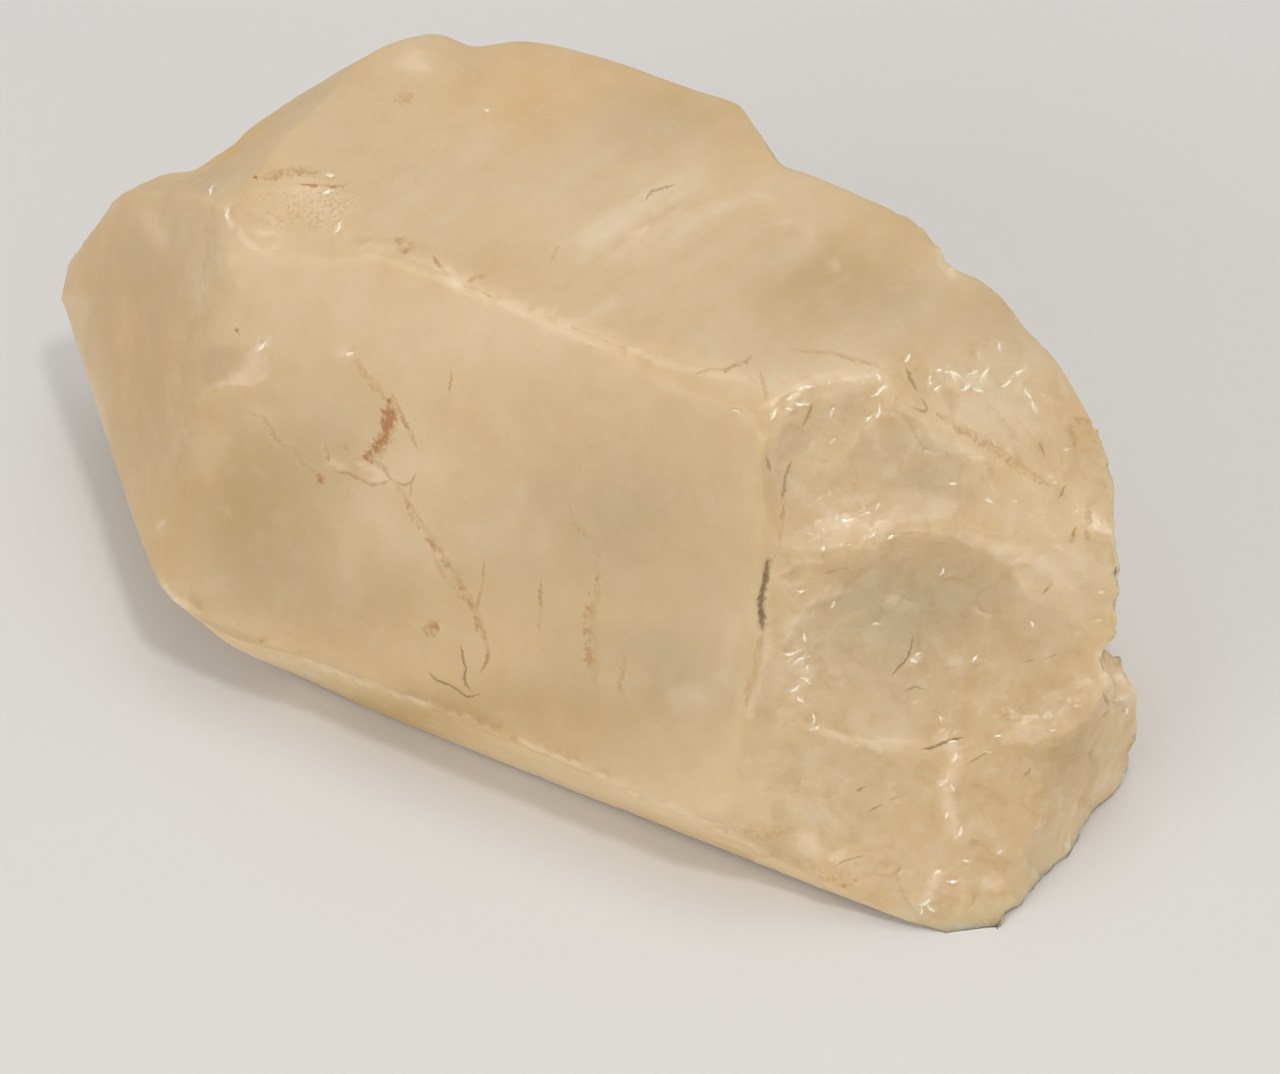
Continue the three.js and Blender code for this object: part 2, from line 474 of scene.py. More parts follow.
GLINT_RIDGE = [(947, 735), (955, 755), (945, 785), (949, 812), (958, 832), (964, 858), (944, 876),
               (925, 905)]
PITTED = [(246, 195), (288, 190), (350, 180), (342, 225), (300, 230), (262, 226), (240, 210)]

# dark cracks: line px, width px, darkness
CRACKS = [
    ([(768, 563), (766, 580), (763, 592), (761, 605), (762, 618), (763, 629)], 9.0, 0.8),
    ([(396, 481), (404, 486), (411, 483), (415, 474)], 2.6, 0.5),
    ([(411, 484), (410, 496)], 2.2, 0.4),
    ([(430, 673), (437, 680), (448, 684), (458, 690), (468, 697), (480, 694)], 3.0, 0.75),
    ([(461, 647), (464, 662), (466, 670), (464, 680), (470, 690)], 3.2, 0.8),
    ([(646, 199), (652, 191), (660, 189), (673, 185)], 3.6, 0.5),
    ([(906, 368), (911, 380), (917, 391)], 4.5, 0.55),
    ([(921, 398), (927, 406), (926, 412), (915, 408)], 3.2, 0.5),
    ([(812, 405), (808, 415), (803, 426)], 3.6, 0.5),
    ([(791, 462), (786, 474), (784, 487), (782, 498)], 5.0, 0.55),
    ([(767, 457), (770, 471)], 3.6, 0.5),
    ([(913, 637), (910, 650), (906, 660), (898, 668), (893, 674)], 3.0, 0.75),
    ([(906, 691), (915, 687), (924, 689)], 2.8, 0.5),
    ([(924, 749), (937, 746), (948, 741), (961, 738)], 3.8, 0.85),
    ([(969, 763), (978, 758), (988, 752)], 2.8, 0.5),
    ([(1025, 662), (1034, 660)], 2.2, 0.4), ([(1046, 658), (1057, 654)], 2.0, 0.4),
    ([(857, 791), (865, 787)], 3.0, 0.6), ([(870, 811), (880, 805)], 3.0, 0.6),
    ([(889, 800), (898, 797)], 2.4, 0.3), ([(1024, 776), (1031, 768)], 3.0, 0.5),
    ([(1103, 693), (1108, 704)], 4.0, 0.5), ([(1101, 717), (1109, 710)], 2.8, 0.4),
    ([(1040, 443), (1044, 456)], 3.2, 0.45), ([(1059, 497), (1066, 486)], 3.2, 0.5),
    ([(835, 866), (848, 860), (864, 856)], 2.4, 0.45), ([(897, 534), (920, 532)], 2.2, 0.3),
]
# brown stains: line px, width px, strength
STAINS = [
    ([(350, 354), (362, 370), (373, 385), (386, 400)], 8, 0.49),
    ([(392, 394), (400, 412), (410, 432), (417, 449)], 4.5, 0.7),
    ([(390, 398), (391, 415), (388, 430), (382, 442), (372, 453), (364, 458)], 13, 1),
    ([(364, 458), (374, 461), (382, 467), (389, 477)], 4.5, 1),
    ([(389, 477), (400, 490), (412, 510), (425, 530), (440, 552), (455, 575), (468, 598),
      (476, 615), (482, 632), (487, 648), (488, 660), (481, 672)], 6.5, 0.7),
    ([(484, 562), (483, 580), (479, 600), (476, 615)], 3.2, 0.56),
    ([(432, 553), (445, 575), (455, 590), (467, 604)], 4, 0.35),
    ([(252, 414), (265, 420), (272, 430), (278, 440), (286, 446)], 5, 0.49),
    ([(286, 446), (293, 448), (299, 459), (307, 466), (315, 472), (323, 483)], 4, 0.42),
    ([(318, 473), (324, 484)], 8, 0.98), ([(325, 445), (329, 460)], 4, 0.7),
    ([(345, 442), (348, 453)], 3.5, 0.49),
    ([(337, 472), (350, 473), (362, 480), (376, 484), (390, 480)], 3.5, 0.63),
    ([(352, 460), (366, 456), (372, 464), (360, 468)], 3, 0.35),
    ([(424, 628), (430, 629), (437, 622)], 11, 0.77),
    ([(541, 583), (540, 595), (541, 606), (539, 618), (539, 628)], 4, 0.7),
    ([(570, 508), (575, 522), (582, 530), (592, 537), (597, 545), (597, 560), (598, 575)], 6, 0.42),
    ([(598, 575), (595, 590), (592, 605), (591, 622), (593, 640), (592, 655), (595, 682)], 11, 0.63),
    ([(623, 652), (624, 668), (620, 684), (624, 698)], 5, 0.56),
    ([(452, 373), (449, 393)], 2.8, 0.56), ([(237, 329), (238, 331)], 5, 1),
    ([(551, 261), (556, 252), (559, 246)], 3.2, 0.63),
    ([(697, 373), (712, 370), (725, 370), (735, 365), (745, 362), (752, 355)], 4.2, 0.7),
    ([(790, 350), (830, 353), (850, 358), (870, 363), (882, 369)], 4.0, 0.42),
    ([(300, 184), (330, 186), (345, 186), (353, 182)], 2.6, 0.77),
    ([(262, 178), (290, 171), (318, 172)], 9, 0.56), ([(255, 176), (256, 178)], 4, 0.98),
    ([(397, 238), (408, 247), (412, 252)], 12, 0.56), ([(434, 257), (440, 266), (446, 273)], 3.5, 0.63),
    ([(468, 280), (478, 277), (487, 276)], 4.5, 0.56), ([(482, 292), (492, 296)], 4, 0.56),
    ([(936, 413), (962, 430), (985, 442), (1006, 456), (1022, 468), (1040, 480), (1052, 487)],
     9, 0.55),
    ([(1085, 512), (1090, 518)], 9, 0.42),
    ([(1076, 528), (1070, 546)], 3.6, 0.7), ([(1108, 462), (1110, 478)], 4, 0.7),
    ([(1052, 582), (1044, 593)], 3, 0.7), ([(1085, 528), (1090, 540)], 4, 0.49),
    ([(784, 505), (782, 525), (778, 548), (775, 556)], 4, 0.56),
    ([(763, 632), (757, 660), (751, 682), (746, 706)], 6, 0.42),
    ([(760, 372), (766, 392), (769, 420)], 4, 0.42),
    ([(745, 830), (765, 832), (785, 838)], 14, 0.35), ([(812, 868), (835, 872), (850, 878)], 16, 0.42),
    ([(840, 884), (856, 880)], 8, 0.49), ([(825, 573), (846, 568)], 3, 0.56),
    ([(880, 862), (905, 868)], 7, 0.28), ([(1078, 800), (1092, 806)], 10, 0.35),
    ([(990, 920), (1002, 922)], 9, 0.35), ([(870, 715), (890, 718)], 8, 0.21),
    ([(1120, 700), (1128, 712)], 5, 0.35), ([(1074, 418), (1100, 424)], 9, 0.45),
    ([(1070, 424), (1076, 445)], 7, 0.42), ([(214, 205), (212, 250), (208, 300), (204, 335)], 12, 0.2),
    ([(196, 300), (191, 370), (189, 430), (183, 500)], 14, 0.16), ([(395, 100), (412, 94)], 12, 0.35),
    ([(618, 522), (630, 530), (645, 537)], 4, 0.35),
]
# patches with a clear edge: outline px, softness of the edge px, milkiness (negative is clearer)
PATCHES = [
    ([(785, 548), (800, 528), (830, 516), (865, 506), (905, 496), (945, 497), (968, 506),
      (950, 517), (920, 523), (895, 529), (870, 537), (845, 546), (818, 553)], 4, 0.5),
    ([(945, 530), (975, 532), (995, 543), (1014, 554), (1034, 561), (1018, 566), (1000, 561),
      (985, 552), (965, 545)], 3, 0.6),
    ([(925, 424), (950, 437), (975, 449), (990, 459), (972, 459), (945, 450), (930, 440)], 3, 0.5),
    ([(1000, 743), (1010, 724), (1035, 704), (1055, 690), (1082, 678), (1103, 682), (1113, 690),
      (1108, 702), (1095, 716), (1075, 728), (1050, 738), (1022, 745)], 4, 0.35),
    # the pale band along the ridge: a worn edge, and a painted highlight where the edge catches the
    # light
    ([(442, 268), (470, 281), (500, 291), (530, 302), (560, 315), (600, 333), (640, 349),
      (660, 361), (640, 358), (612, 351), (585, 344), (560, 336), (530, 322), (500, 308),
      (468, 291)], 1.2, 0.25),
    ([(238, 222), (246, 236), (258, 243), (277, 241), (281, 248), (262, 252), (246, 247),
      (238, 236)], 2, 0.45),
    ([(248, 220), (258, 229), (270, 232), (279, 230), (276, 237), (262, 237), (250, 231)], 2, 0.35),
    ([(200, 398), (214, 389), (235, 385), (250, 388), (263, 380), (271, 364), (269, 348),
      (258, 342), (246, 354), (242, 368), (228, 379), (205, 389)], 3, 0.5),
    ([(203, 350), (225, 345), (242, 352), (238, 368), (224, 378), (205, 386), (198, 370)], 6, -0.3),
    ([(60, 298), (80, 296), (97, 298), (87, 322), (83, 345), (90, 370), (104, 400), (112, 440),
      (100, 440), (72, 350)], 4, 0.3),
    # painted light: a pale patch that lightens the shaded facet at the notch in the rim
    ([(1096, 652), (1106, 652), (1118, 672), (1136, 684), (1138, 700), (1116, 700), (1106, 690),
      (1098, 672)], 4, 0.6),
]
# milky or bruised lines: line px, width px, strength
VEILS = [
    ([(845, 502), (900, 496), (940, 500)], 14, 0.4), ([(1000, 545), (1040, 560), (1070, 590)], 18, 0.4),
    ([(945, 742), (955, 760), (947, 785), (950, 812), (957, 834)], 16, 0.6),
    ([(800, 388), (786, 412), (776, 440), (771, 470)], 10, 0.5),
    ([(768, 640), (760, 680), (750, 716)], 6, 0.5),
    ([(848, 590), (820, 600), (800, 614), (784, 642)], 5, 0.5),
    ([(945, 262), (952, 272)], 13, 0.8), ([(940, 250), (946, 262)], 6, 0.8),
    ([(795, 663), (806, 676), (797, 694)], 16, 0.5), ([(908, 662), (920, 656)], 10, 0.6),
    ([(950, 380), (985, 380)], 14, 0.6), ([(1010, 378), (1036, 410)], 7, 0.4),
    ([(926, 900), (938, 874)], 10, 0.6), ([(806, 843), (812, 847)], 22, 0.8),
    ([(832, 858), (845, 853)], 10, 0.6), ([(985, 882), (998, 884)], 14, 0.6),
    ([(1118, 676), (1130, 690), (1124, 706)], 10, 0.8), ([(955, 662), (962, 668)], 14, 0.6),
    ([(892, 600), (902, 606)], 16, 0.5), ([(870, 430), (890, 470)], 14, 0.3),
    ([(770, 222), (788, 221), (804, 226), (810, 236), (812, 247)], 3.0, 0.4),
    ([(832, 262), (838, 275)], 4, 0.4), ([(630, 236), (640, 232), (648, 226)], 6, 0.7),
    ([(590, 240), (640, 205), (700, 178)], 30, 0.4), ([(560, 330), (620, 300)], 8, 0.3),
    ([(680, 222), (740, 200), (765, 196)], 14, 0.4), ([(610, 260), (680, 215)], 14, 0.3),
    ([(226, 208), (232, 226)], 5, 0.8), ([(256, 350), (268, 344)], 8, 0.7),
    ([(340, 352), (354, 358)], 6, 0.6), ([(362, 466), (376, 470), (388, 478), (374, 483)], 7, 0.7),
    ([(330, 462), (345, 466)], 7, 0.5), ([(445, 270), (462, 284)], 16, 0.7),
    ([(352, 244), (400, 252), (440, 269)], 6, 0.4), ([(655, 361), (700, 372), (745, 378)], 7, 0.4),
    ([(160, 525), (164, 522)], 6, 0.6), ([(150, 215), (160, 240)], 18, 0.4),
    ([(155, 585), (172, 600), (182, 606)], 14, 0.8), ([(300, 190), (340, 215)], 30, 0.3),
    ([(680, 700), (705, 698)], 26, 0.5), ([(735, 620), (720, 680)], 12, 0.3),
    ([(520, 742), (600, 775), (690, 815)], 6, 0.5), ([(300, 661), (430, 706)], 6, 0.5),
    ([(390, 470), (440, 460)], 36, 0.3), ([(412, 60), (422, 66)], 26, 0.6),
]
# broad tints: centre px, half widths px, strength
TINTS = {
    "clear": [
        (625, 520, 165, 125, 0.6), (640, 660, 120, 60, 0.6), (120, 275, 50, 60, 0.25),
        (900, 300, 40, 70, 0.3), (645, 120, 80, 40, 0.15), (300, 590, 110, 60, 0.3),
        (350, 450, 60, 60, 0.2),
    ],
    "warm": [
        (500, 95, 110, 50, 0.8), (165, 520, 50, 90, 0.4), (260, 620, 120, 40, 0.3),
        (820, 865, 120, 40, 0.5), (1090, 815, 60, 70, 0.4), (560, 250, 130, 60, 0.3),
        (720, 260, 90, 60, 0.2), (205, 430, 26, 110, 0.4), (690, 800, 120, 40, 0.3),
        (125, 320, 95, 200, 1.0), (145, 500, 45, 90, 1.0), (430, 735, 280, 36, 0.3),
        (850, 790, 80, 40, 0.4), (230, 140, 80, 50, 0.9), (980, 900, 90, 40, 0.3),
        (1090, 430, 40, 40, 0.7), (950, 790, 80, 40, 0.2),
    ],
    # a paler tone, and painted light where the top face and the ridge catch the light and the thin
    # right edge of the break lets it through
    "pale_tone_and_light": [
        (985, 345, 90, 55, 0.25), (985, 412, 60, 36, 1.0), (470, 330, 170, 60, 0.55),
        (640, 225, 140, 60, 0.4), (1060, 540, 50, 80, 0.5), (720, 800, 80, 30, 0.2),
        (400, 500, 70, 90, 0.2), (90, 400, 20, 60, 0.4), (830, 430, 50, 50, 0.3),
    ],
    "streaky": [
        (640, 220, 120, 80, 1.0), (800, 270, 100, 60, 0.6), (450, 200, 120, 60, 0.5),
        (520, 140, 130, 60, 0.4),
    ],
    # a deeper brown tone, and painted shade on the downward-facing foot face and under the crest of the
    # lobe
    "dark_tone_and_shade": [
        (250, 500, 110, 130, 0.85), (150, 380, 70, 140, 0.6), (430, 712, 260, 34, 1.0),
        (620, 740, 130, 50, 0.35), (670, 115, 70, 40, 0.3), (1065, 706, 55, 26, 0.6),
        (1070, 755, 50, 26, 0.5), (985, 315, 60, 35, 0.4), (820, 290, 90, 60, 0.6),
        (360, 600, 120, 70, 0.5),
    ],
}
# small facets tilted to catch the glint lamp, each with a painted glint: centre px, length px, heading
# degrees anticlockwise from the right
GLINTS = [
    (806, 388, 15, 10), (793, 397, 14, 25), (789, 409, 6, 0), (773, 414, 13, 60),
    (802, 403, 14, -5), (833, 411, 10, 60), (833, 441, 7, 40), (878, 391, 16, 40),
    (879, 377, 6, -60), (878, 411, 15, 75), (869, 419, 8, 50), (907, 358, 9, 50),
    (929, 382, 12, 80), (937, 389, 10, 40), (939, 371, 8, 0), (952, 374, 16, -20),
    (966, 387, 12, 30), (973, 372, 10, 15), (985, 375, 16, 60), (978, 389, 12, -30),
    (1000, 346, 9, 100), (1006, 383, 12, 35), (1018, 374, 15, 35), (1028, 393, 10, -60),
    (1034, 407, 9, -70), (1066, 449, 5, 0), (1101, 592, 5, 0), (1099, 620, 4, 0),
    (952, 483, 7, 0), (989, 500, 8, -30), (879, 505, 8, 60), (866, 514, 9, 20),
    (845, 520, 6, 0), (872, 535, 8, 40), (891, 537, 7, 30), (823, 548, 8, 70),
    (808, 534, 6, 0), (800, 591, 8, 10), (833, 604, 6, 60), (876, 624, 7, 0),
    (942, 571, 8, 60), (1032, 624, 6, -60), (805, 637, 9, 90), (790, 653, 12, 10),
    (800, 660, 12, 30), (808, 668, 8, 80), (805, 681, 12, -30), (795, 688, 11, 30),
    (800, 699, 8, -40), (813, 718, 11, 90), (815, 728, 9, 20), (913, 660, 9, -30),
    (918, 654, 6, 30), (975, 659, 9, 60), (940, 718, 6, -60), (952, 742, 9, 10),
    (955, 756, 11, 70), (943, 782, 10, 40), (951, 787, 9, -50), (948, 814, 9, 60),
    (959, 832, 13, 60), (965, 861, 6, 0), (938, 872, 10, 40), (952, 881, 10, 0),
    (925, 902, 12, 30), (931, 908, 10, -40), (921, 910, 8, 80), (1078, 706, 5, 0),
    (1053, 730, 5, 0), (998, 736, 5, 0), (1118, 699, 10, 10), (1126, 711, 6, 60),
    (1067, 846, 8, 90), (988, 752, 5, 0), (228, 214, 9, 80), (212, 190, 11, 60),
    (330, 175, 7, 0), (328, 192, 10, 20), (338, 227, 11, 60), (261, 346, 12, 50),
    (350, 354, 7, 20), (487, 110, 4, 0), (735, 411, 4, 0), (1000, 852, 5, 30),
]


# ---------------------------------------------------------------- lines on the surface
# px, except NO_LINE, the offset in half widths where there is no line
LINE_FADE = 5.0
LINE_REACH = 22.0
NO_LINE = 9.0


def line_offset(p, line):
    """Signed distance px across a line, how far past its end a point lies, and share along it"""
    best = np.full(len(p), FAR)
    across, past, along = np.zeros(len(p)), np.zeros(len(p)), np.zeros(len(p))
    last = len(line) - 2
    start = 0.0
    for k, (a, b) in enumerate(zip(line[:-1], line[1:])):
        length = np.linalg.norm(b - a)
        unit = (b - a) / length
        away = p - a
        t = away @ unit
        side = away[:, 0] * unit[1] - away[:, 1] * unit[0]
        over = np.maximum(np.maximum(-t, t - length), 0)
        distance = np.hypot(side, over)
        nearer = distance < best
        beyond = (t < 0) if k == 0 else (t > length) if k == last else np.zeros(len(p), bool)
        best[nearer] = distance[nearer]
        across[nearer] = np.where(beyond, side, np.copysign(distance, side))[nearer]
        past[nearer] = np.where(beyond, over, 0)[nearer]
        along[nearer] = (start + np.clip(t, 0, length))[nearer]
        start += length
    return across, past, along / start


def grouped(lines, margin):
    """Shares the lines out, so that the lines of a group keep clear of each other"""
    groups = []
    for line in lines:
        path, half = line[:2]
        clear = [
            group for group in groups
            if all(line_distance(path, other).min() > half + wide + margin
                   for other, wide, *_ in group)
        ]
        if clear:
            clear[0].append(line)
        else:
            groups.append([line])
    return groups


def shard(x, y, length, heading):
    """The bent line of a small facet and of its painted glint"""
    turn = math.radians(heading)
    along = np.array([math.cos(turn), -math.sin(turn)]) * length / 2
    across = np.array([along[1], -along[0]]) * 0.25 * (-1) ** (x + y)
    middle = np.array([x, y], float)
    return np.array([middle - along, middle - 0.2 * along + across, middle + along])


# every line of a group: path px, half width px, how dark, how brown
LINE_GROUPS = grouped([
    *((curve(line), 0.42 * width, dark, 0.0) for line, width, dark in CRACKS),
    *((curve(line), 0.6 * width, 0.0, brown) for line, width, brown in STAINS),
], LINE_FADE)
GLINT_GROUPS = grouped([
    (shard(*glint), 0.75 + 0.03 * glint[2], 1.0, 0.0) for glint in GLINTS
], 2.5)
GROUPED_LINES = [line for group in LINE_GROUPS for line in group]
GROUPED_GLINTS = [glint for group in GLINT_GROUPS for glint in group]
# where the mesh is made finer: path px, reach px, longest edge mm
FINE_LINES = [
    *((path, half + LINE_REACH, 1.25) for path, half, *_ in GROUPED_LINES),
    *((path, half + LINE_FADE - 1, 0.56) for path, half, *_ in GROUPED_LINES),
    *((path, half + 3, 0.32) for path, half, *_ in GROUPED_GLINTS),
    *((curve(line), CHIP_REACH, 0.5) for line, _ in CHIPPED_EDGES),
    *((curve(line), width * 0.6, max(0.7, width * 0.08)) for line, width, _ in VEILS),
    *((ring(outline), 2.5, 0.45) for outline, *_ in SCARS),
    *((ring(outline), 2.5, 0.42) for outline, *_ in PATCHES),
]
LONGEST_EDGE = 2.0


def near_line(px, line, reach, among):
    """The points of a choice that lie within reach px of a line, and how far from it they are"""
    path = curve(line)
    index = np.flatnonzero(boxed(px, path, reach) & among)
    distance = line_distance(px[index], path)
    near = distance < reach
    return index[near], distance[near]


def lay_lines(px, seen, group):
    """Half widths across the nearest line of a group, and how dark and how brown that line is"""
    values = np.zeros((len(px), 3))
    values[:, 0] = NO_LINE
    nearest = np.full(len(px), FAR)
    for path, half, dark, brown in group:
        reach = half + LINE_REACH
        index = np.flatnonzero(boxed(px, path, reach) & seen)
        across, past, along = line_offset(px[index], path)
        distance = np.hypot(across, past)
        keep = distance < np.minimum(nearest[index], reach)
        index, across, past, along = index[keep], across[keep], past[keep], along[keep]
        nearest[index] = distance[keep]
        taper = np.clip(5 * np.minimum(along, 1 - along), 0.12, 1) ** 0.5
        fade = 1 - smoothstep(-1, 3, past)
        fade *= 1 - smoothstep(1.5, LINE_FADE, np.abs(across) - half)
        values[index] = np.column_stack([across / (half * taper), dark * fade, brown * fade])
    return values


def fine_enough(points):
    """Longest edge wanted at each point, mm"""
    px = to_pixel(points)
    length = np.full(len(points), LONGEST_EDGE)
    for line, reach, edge in FINE_LINES:
        near = np.flatnonzero(boxed(px, line, reach))
        hit = near[line_distance(px[near], line) < reach]
        length[hit] = np.minimum(length[hit], edge)
    return length


# ---------------------------------------------------------------- forms
# outline: bins a degree, how they are evened out, and the shares of the way to the rim that move
FIT_BINS = 2
FIT_KERNEL = np.array([1, 2, 3, 2, 1]) / 9
FIT_RIM = (0.86, 0.99)
SOFT_STEPS = 220
# heights mm, and noises: size mm, octaves, seed
TOP_HEIGHT = 47
BRUISE_DEPTH, BRUISES = 0.22, (2.2, 3, 11)
BROAD_SWELL, SMALL_SWELL = (17, 2, 3), (5, 2, 6)
BAND_HEIGHT, BANDS = 0.05, (1.0, 3, 31)
BAND_SIZE = np.array([3.2, 22.0, 8.0])
GRAIN, FACETS = (3.6, 3, 21), (6.0, 2, 27)
# splinters: how many, size mm, tilt, seed
SEEN_SPLINTERS, HIDDEN_SPLINTERS = (170, 3.0, 0.035, 7), (120, 4.0, 0.04, 8)
SPLINTER_LIMIT = 0.2
GLINT_RIDGE_REACH, GLINT_RIDGE_HEIGHT = 18, 0.16
# noises in the picture: size px, octaves, seed
RIPPLE_BEND = (60, 2, 41)
# shifts of its points: size px, octaves, seeds, amount px
WOBBLE = (26, 3, (5, 9), 4.0)


def toward_eye(co, normals):
    """How far each vertex faces the camera, as mm along its normal and as a share of the way"""
    toward = EYE - co
    along = np.einsum("ij,ij->i", normals, toward)
    return along, along / np.linalg.norm(toward, axis=1)


def splinters(co, count, size, tilt, seed):
    """Height mm of a field of small flat splinters, each tilted its own way"""
    rng = np.random.default_rng(seed)
    seeds = co[rng.integers(0, len(co), count)]
    tilts = rng.normal(0, tilt, (count, 3))
    warped = co + size * 0.35 * np.column_stack([fractal(co, size, 2, seed + k) for k in range(3)])
    best = np.full(len(co), FAR)
    height = np.zeros(len(co))
    for point, slope in zip(seeds, tilts):
        away = warped - point
        distance = np.einsum("ij,ij->i", away, away)
        nearer = distance < best
        best[nearer] = distance[nearer]
        height[nearer] = (away @ slope)[nearer]
    return np.clip(height, -SPLINTER_LIMIT, SPLINTER_LIMIT)


def fit_outline(co):
    """Draws the rim in or out, in the plane of the picture, to the outline of the real one"""

    def polar(p):
        d = p - OUTLINE_CENTRE
        return np.degrees(np.arctan2(d[:, 1], d[:, 0])) % 360, np.linalg.norm(d, axis=1)

    angle, radius = polar(to_pixel(co))
    bins = np.arange(360 * FIT_BINS) / FIT_BINS
    reach = np.zeros(len(bins))
    np.maximum.at(reach, (angle * FIT_BINS).astype(int) % len(bins), radius)
    reach = np.interp(bins, bins[reach > 0], reach[reach > 0], period=360)
    want_angle, want = polar(curve(OUTLINE, 3.0, closed=True)[:-1])
    order = np.argsort(want_angle)
    wanted = np.interp(bins, want_angle[order], want[order], period=360)
    change = np.clip(wanted - reach, -MOST_MOVED, MOST_MOVED)
    change = np.convolve(np.concatenate([change[-2:], change, change[:2]]), FIT_KERNEL, "valid")
    rim = np.interp(angle, bins, reach, period=360)
    move = np.interp(angle, bins, change, period=360) * smoothstep(*FIT_RIM, radius / rim)
    depth = -(co - EYE) @ BACK
    heading = np.radians(angle)
    step = (move * depth / FOCAL_PX)[:, None]
    return co + step * (np.cos(heading)[:, None] * RIGHT - np.sin(heading)[:, None] * UP)


def broken_base(co, normals):
    """1 where the surface belongs to the broken base, by the way it faces"""
    return smoothstep(0.25, 0.6, normals[:, 0]) * smoothstep(0, 12, co[:, 0])


def softened(co, pairs, px, visible):
    """Smooths the break and the soft zones, but not the thin rim and the corner of the break"""
    soft = np.zeros(len(co))
    soft[visible] = smoothstep(-5, 30, depth_inside(px[visible], FRACTURE))
    soft[visible] *= smoothstep(*RIM_REACH, depth_inside(px[visible], OUTLINE))
    soft[visible] *= smoothstep(*CORNER_REACH, np.linalg.norm(px[visible] - CORNER, axis=1))
    for zone in SOFT_ZONES:
        inward = smoothstep(-14, 10, depth_inside(px[visible], zone))
        soft[visible] = np.maximum(soft[visible], inward)
    return relax_part(co, pairs, SOFT_STEPS, soft * 0.5)


def swells(co, normals, edges):
    """Height of what goes all round: a slight swelling, bruised edges and growth bands"""
    height = 0.12 * fractal(co, *BROAD_SWELL) + 0.03 * fractal(co, *SMALL_SWELL) - 0.14
    height -= edges * BRUISE_DEPTH * np.maximum(0, fractal(co, *BRUISES) + 0.1)
    top = smoothstep(0.9, 0.95, normals[:, 2]) * (np.abs(co[:, 2] - TOP_HEIGHT) < 1.5)
    return height + top * (BAND_HEIGHT * fractal(co / BAND_SIZE, *BANDS) - 0.03)


def broken_grain(co, grain_height, facet_height):
    return grain_height * fractal(co, *GRAIN) + facet_height * np.abs(fractal(co, *FACETS))


def seen_forms(co, picture):
    """Height of the scars, ripples, grain and splinters that the photograph shows"""
    height = np.zeros(len(co))
    wobble = shake(picture, *WOBBLE)
    warped = picture + wobble
    fracture = smoothstep(-6, 24, depth_inside(picture, FRACTURE))
    inward = [depth_inside(warped, outline) for outline, *_ in SCARS]
    for (_, depth, slope, *_), t in zip(SCARS, inward):
        height -= depth * (1 - (1 - np.clip(t / slope, 0, 1)) ** 2)
    for centre, spacing, size, scar in RIPPLES:
        away = np.linalg.norm(warped + wobble - centre, axis=1)
        wave = np.abs(np.sin(away / spacing * math.pi + 2 * flat_noise(picture, *RIPPLE_BEND)))
        height += size * (1 - 2 * wave ** 1.5) * smoothstep(0, 14, inward[scar])
    height += fracture * (broken_grain(co, 0.035, 0.07) - 0.04)
    broken = np.flatnonzero(fracture > 0.01)
    height[broken] += fracture[broken] * splinters(co[broken], *SEEN_SPLINTERS)
    return height


def shape_forms(co, tris):
    """The forms down to about a millimetre"""
    pairs, _ = edges_of(tris)
    sharp = co
    co = relax(co, pairs, 3, 0.5)
    crease = np.linalg.norm(relax(co, pairs, 6, 0.5) - sharp, axis=1)
    crease = smoothstep(0.04, 0.16, blur(crease, pairs, 2))
    co = fit_outline(co)
    seen = toward_eye(co, normals_of(co, tris))[0] > 0
    visible = np.flatnonzero(seen)
    co = fit_outline(softened(co, pairs, to_pixel(co), visible))
    normals = normals_of(co, tris)
    px = to_pixel(co)

    height = swells(co, normals, blur(crease, pairs, 3))
    forms = np.zeros(len(co))
    forms[visible] = seen_forms(co[visible], px[visible])
    index, distance = near_line(px, GLINT_RIDGE, GLINT_RIDGE_REACH, seen)
    swell = GLINT_RIDGE_HEIGHT * (1 - distance / GLINT_RIDGE_REACH) ** 2
    forms[index] += swell * (1 + 0.6 * value_noise(co[index], 1.1, 51))
    forms *= smoothstep(-0.02, 0.3, toward_eye(co, normals)[1])

    for line, reach, depth, grain in JAGGED_RIMS:
        index, distance = near_line(px, line, reach, True)
        teeth = np.maximum(0, value_noise(co[index], grain, 63) + 0.2)
        height[index] -= depth * (1 - distance / reach) * teeth
    hidden = np.flatnonzero(broken_base(co, normals) * ~seen > 0.01)
    rough = broken_base(co[hidden], normals[hidden])
    chips = splinters(co[hidden], *HIDDEN_SPLINTERS)
    height[hidden] += rough * (broken_grain(co[hidden], 0.05, 0.09) - 0.1 + chips)
    return co + normals * (height + forms)[:, None]


# ---------------------------------------------------------------- marks
# a crack wider than this, px, is open, and this deep, mm
WIDE_CRACK, WIDE_CRACK_DEPTH = 6.0, 0.5
FACET_LIMIT, PIT_DEPTH = 0.14, 0.14
# noises: size mm, octaves, seed
CHIPS, CLOUDS, WISPS, VEINS = (1.5, 2, 57), (13, 3, 101), (6, 3, 103), (26, 2, 211)
WISP_STRETCH, VEIN_STRETCH = np.array([1.0, 0.45, 1.0]), np.array([0.6, 1.0, 1.0])
# in the picture, as above
BROKEN_RIM = (34, 2, 91)
JITTER, RAGGED = (7, 2, (61, 67), 1.3), (9, 3, (71, 73), 1.6)


